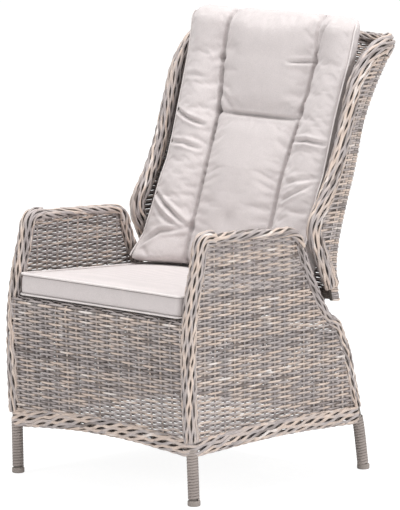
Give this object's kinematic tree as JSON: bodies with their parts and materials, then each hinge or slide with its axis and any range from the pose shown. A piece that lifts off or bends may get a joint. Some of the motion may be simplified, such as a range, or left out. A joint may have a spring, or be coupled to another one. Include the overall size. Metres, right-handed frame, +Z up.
{
  "type": "reclining garden armchair",
  "caption": "High-back woven garden armchair with wings, arms, loose seat and back cushions, and a back that reclines about a low hinge on a gas spring.",
  "frame": {"origin": "on the floor, under the middle of the chair's width and depth", "axes": "+Z up, the front of the chair looks along -Y, +X towards the sitter's left"},
  "size_m": [0.65, 0.7854, 1.147],
  "materials": {
    "frame_metal": "powder coated, satin",
    "wicker": "woven half-round resin strands, mixed greys and tans",
    "cushion_fabric": "fine woven outdoor fabric",
    "rubber_foot": "matt",
    "zinc_steel": "zinc plated",
    "black_steel": "painted black",
    "bright_rod": "polished",
    "nylon": "moulded",
    "cable_jacket": "smooth"
  },
  "bodies": {
    "frame": {"front_post_left": "frame_metal", "front_post_right": "frame_metal", "armrest_tube_left": "frame_metal", "armrest_tube_right": "frame_metal", "rear_leg_left": "frame_metal", "rear_leg_right": "frame_metal", "front_seat_rail": "frame_metal", "rear_seat_rail": "frame_metal", "side_seat_rails": "frame_metal", "rear_top_rail": "frame_metal", "spring_cross_tube": "frame_metal", "foot_caps": "rubber_foot", "leg_wraps": "wicker", "front_post_braid_left": "wicker", "front_post_braid_right": "wicker", "armrest_braid_left": "wicker", "armrest_braid_right": "wicker", "slope_braid_left": "wicker", "slope_braid_right": "wicker", "rear_corner_braid_left": "wicker", "rear_corner_braid_right": "wicker", "skirt_front": "wicker", "skirt_rear": "wicker", "skirt_left": "wicker", "skirt_right": "wicker", "front_weave": "wicker", "rear_weave": "wicker", "side_weave_left": "wicker", "side_weave_right": "wicker", "seat_deck": "wicker", "seat_cushion": "cushion_fabric", "hinge_brackets": "black_steel", "hinge_bolts": "zinc_steel", "hinge_nuts": "zinc_steel", "spring_bracket": "black_steel", "spring_front_pin": "zinc_steel", "release_bracket": "black_steel", "release_cable": "cable_jacket"},
    "back": {"back_side_tube_left": "frame_metal", "back_side_tube_right": "frame_metal", "back_top_rail": "frame_metal", "back_bottom_rail": "frame_metal", "back_cross_bar": "frame_metal", "wing_tubes": "frame_metal", "wing_braid_left": "wicker", "wing_braid_right": "wicker", "back_top_braid": "wicker", "back_weave": "wicker", "wing_weave_left": "wicker", "wing_weave_right": "wicker", "back_cushion": "cushion_fabric", "hinge_plates": "black_steel", "hinge_bushes": "nylon", "spring_clevis": "black_steel", "spring_rear_pin": "zinc_steel"},
    "spring_rod": {"gas_rod": "bright_rod", "release_head": "nylon"},
    "spring_cylinder": {"gas_cylinder": "black_steel"},
    "lever": {"release_lever": "nylon"},
    "valve": {"valve_arm": "nylon"}
  },
  "joints": [
    {"name": "recline", "type": "hinge", "parent": "frame", "child": "back", "pos_m": [0, 0.141, 0.425], "axis": [-1, 0, 0], "range_deg": [0, 35]},
    {"name": "spring_pivot", "type": "hinge", "parent": "frame", "child": "spring_rod", "pos_m": [0, -0.13, 0.365], "axis": [1, 0, 0], "range_deg": [0, 2.4]},
    {"name": "spring_stroke", "type": "slide", "parent": "spring_rod", "child": "spring_cylinder", "axis": [0, -1, 0], "range_m": [0, 0.036]},
    {"name": "release", "type": "hinge", "parent": "frame", "child": "lever", "pos_m": [-0.3, -0.18992, 0.402], "axis": [-1, 0, 0], "range_deg": [0, 18], "stiffness_Nm_per_rad": 0.5, "springref_deg": -17.19},
    {"name": "valve_turn", "type": "hinge", "parent": "spring_rod", "child": "valve", "pos_m": [0.0167, -0.1075, 0.365], "axis": [1, 0, 0], "range_deg": [0, 14]}
  ],
  "couplings": [
    {"joint": "spring_pivot", "follows": "recline", "ratio": 0.0627},
    {"joint": "spring_stroke", "follows": "recline", "m_per_rad": 0.0572},
    {"joint": "valve_turn", "follows": "release", "ratio": 0.75}
  ]
}
